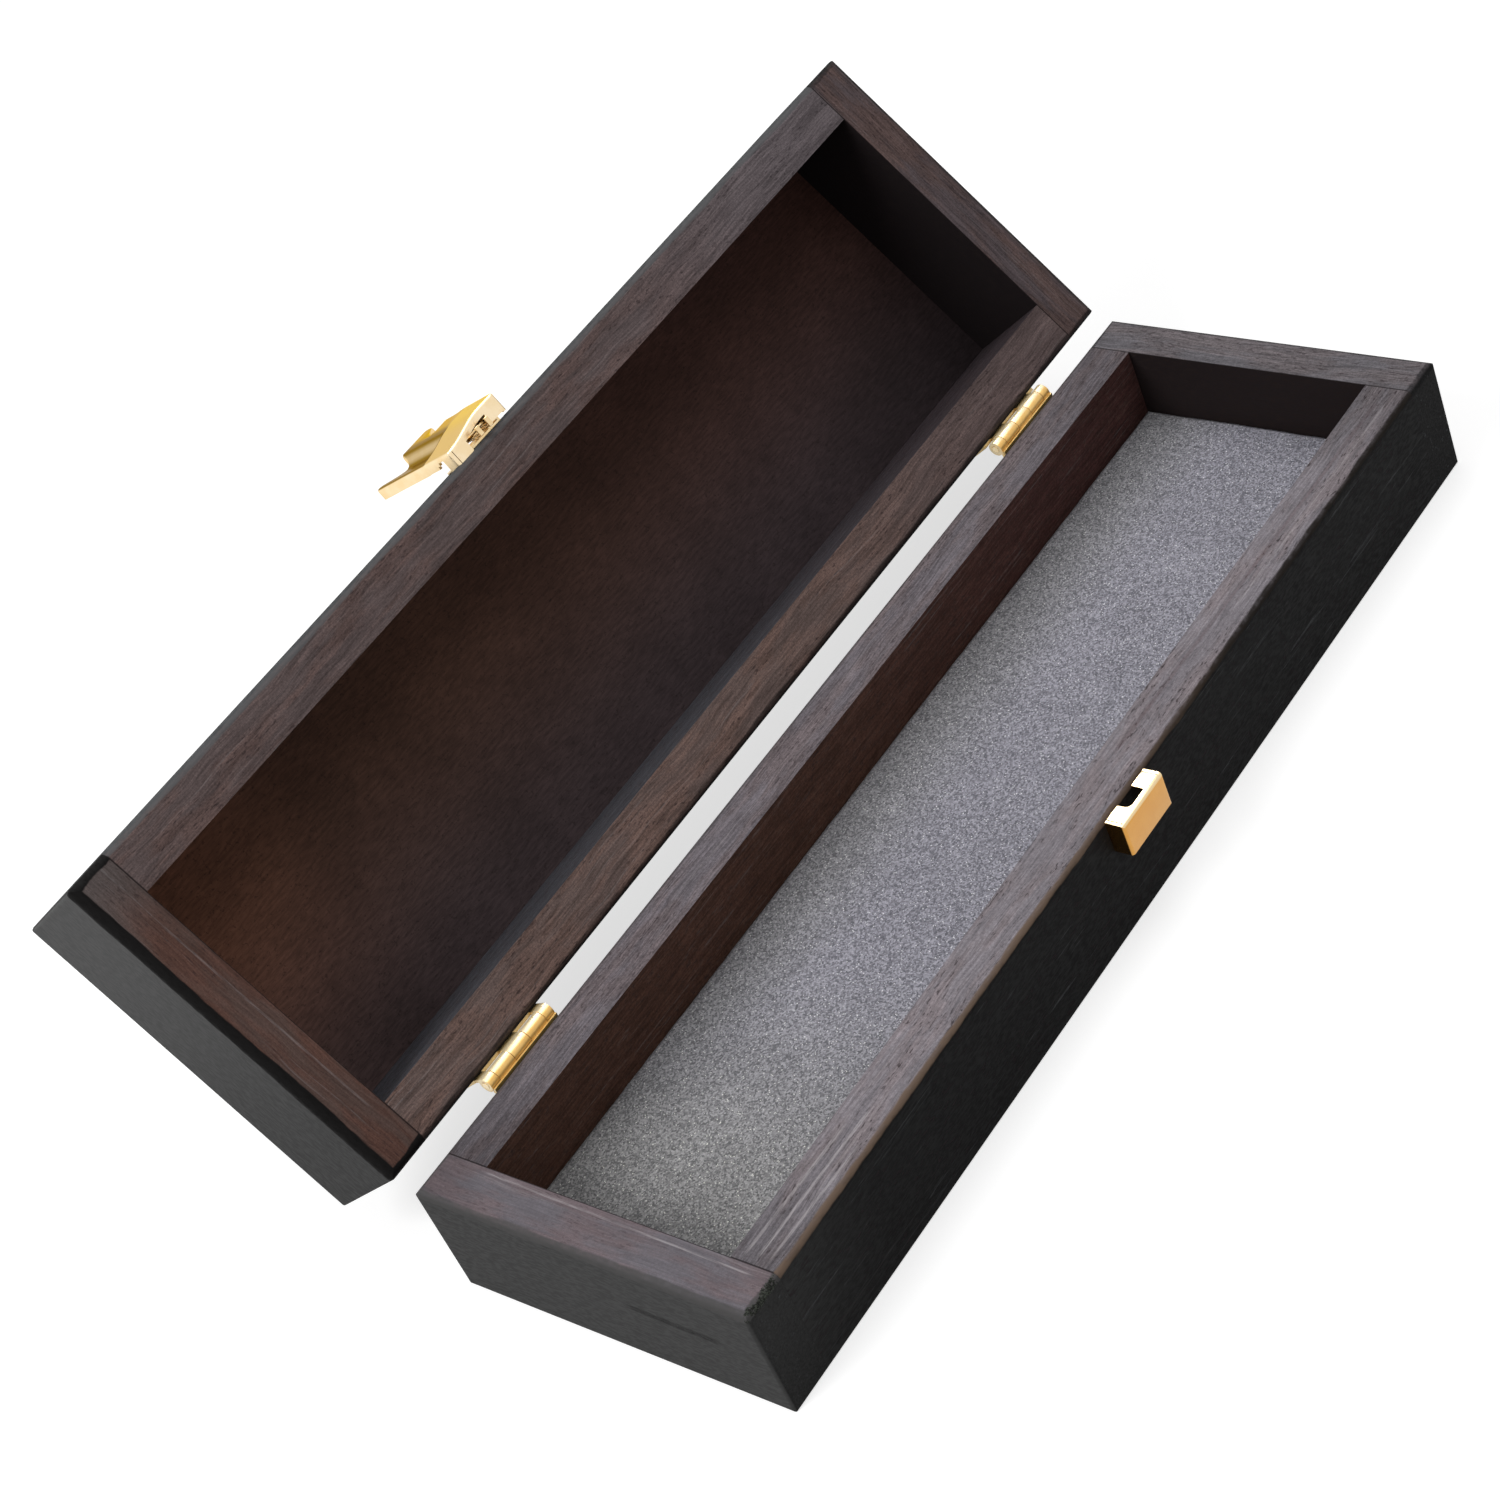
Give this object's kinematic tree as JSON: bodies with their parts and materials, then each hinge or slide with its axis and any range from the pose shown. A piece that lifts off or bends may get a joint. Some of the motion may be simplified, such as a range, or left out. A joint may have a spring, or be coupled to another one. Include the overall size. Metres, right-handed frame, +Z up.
{
  "type": "knife box",
  "caption": "Slim hinged wooden case with a foam-bedded tray, surface hinges along its back and a pivoting lever catch that hooks into a folded keeper.",
  "frame": {"origin": "middle of the base's flat underside", "axes": "+X along the box's length towards the far end, +Y from the front face with the keeper towards the hinges, +Z up through the base"},
  "size_m": [0.23, 0.1482, 0.086],
  "materials": {
    "dark_wood": "dark stained, fine grain, thin worn satin finish",
    "inner_wood": "dark red-brown stain, satin",
    "foam": "grey open-cell foam, matt with a fine speckle",
    "brass": "thin plated sheet, bright satin",
    "pin_brass": "pale plated wire, bright",
    "hook_steel": "dark spring steel"
  },
  "bodies": {
    "base": {"base_front_rail": "dark_wood", "base_back_rail": "dark_wood", "base_near_end": "dark_wood", "base_far_end": "dark_wood", "base_panel": "inner_wood", "foam_pad": "foam", "keeper": "brass", "near_hinge_base_leaf": "brass", "near_hinge_pin": "pin_brass", "far_hinge_base_leaf": "brass", "far_hinge_pin": "pin_brass", "hinge_base_nails": "pin_brass"},
    "lid": {"lid_front_rail": "dark_wood", "lid_back_rail": "dark_wood", "lid_near_end": "dark_wood", "lid_far_end": "dark_wood", "lid_panel": "inner_wood", "near_hinge_lid_leaf": "brass", "far_hinge_lid_leaf": "brass", "hinge_lid_nails": "pin_brass", "catch_plate": "brass", "catch_nails": "pin_brass", "catch_pin": "pin_brass"},
    "lever": {"catch_lever": "brass", "catch_hook": "hook_steel"}
  },
  "joints": [
    {"name": "lid_hinge", "type": "hinge", "parent": "base", "child": "lid", "pos_m": [0, 0.0375, 0.0245], "axis": [-1, 0, 0], "range_deg": [-127.6, 27]},
    {"name": "lever_pivot", "type": "hinge", "parent": "lid", "child": "lever", "pos_m": [-0.0002, 0.08521, 0.08268], "axis": [1, 0, 0], "range_deg": [-9.4, 5]}
  ]
}
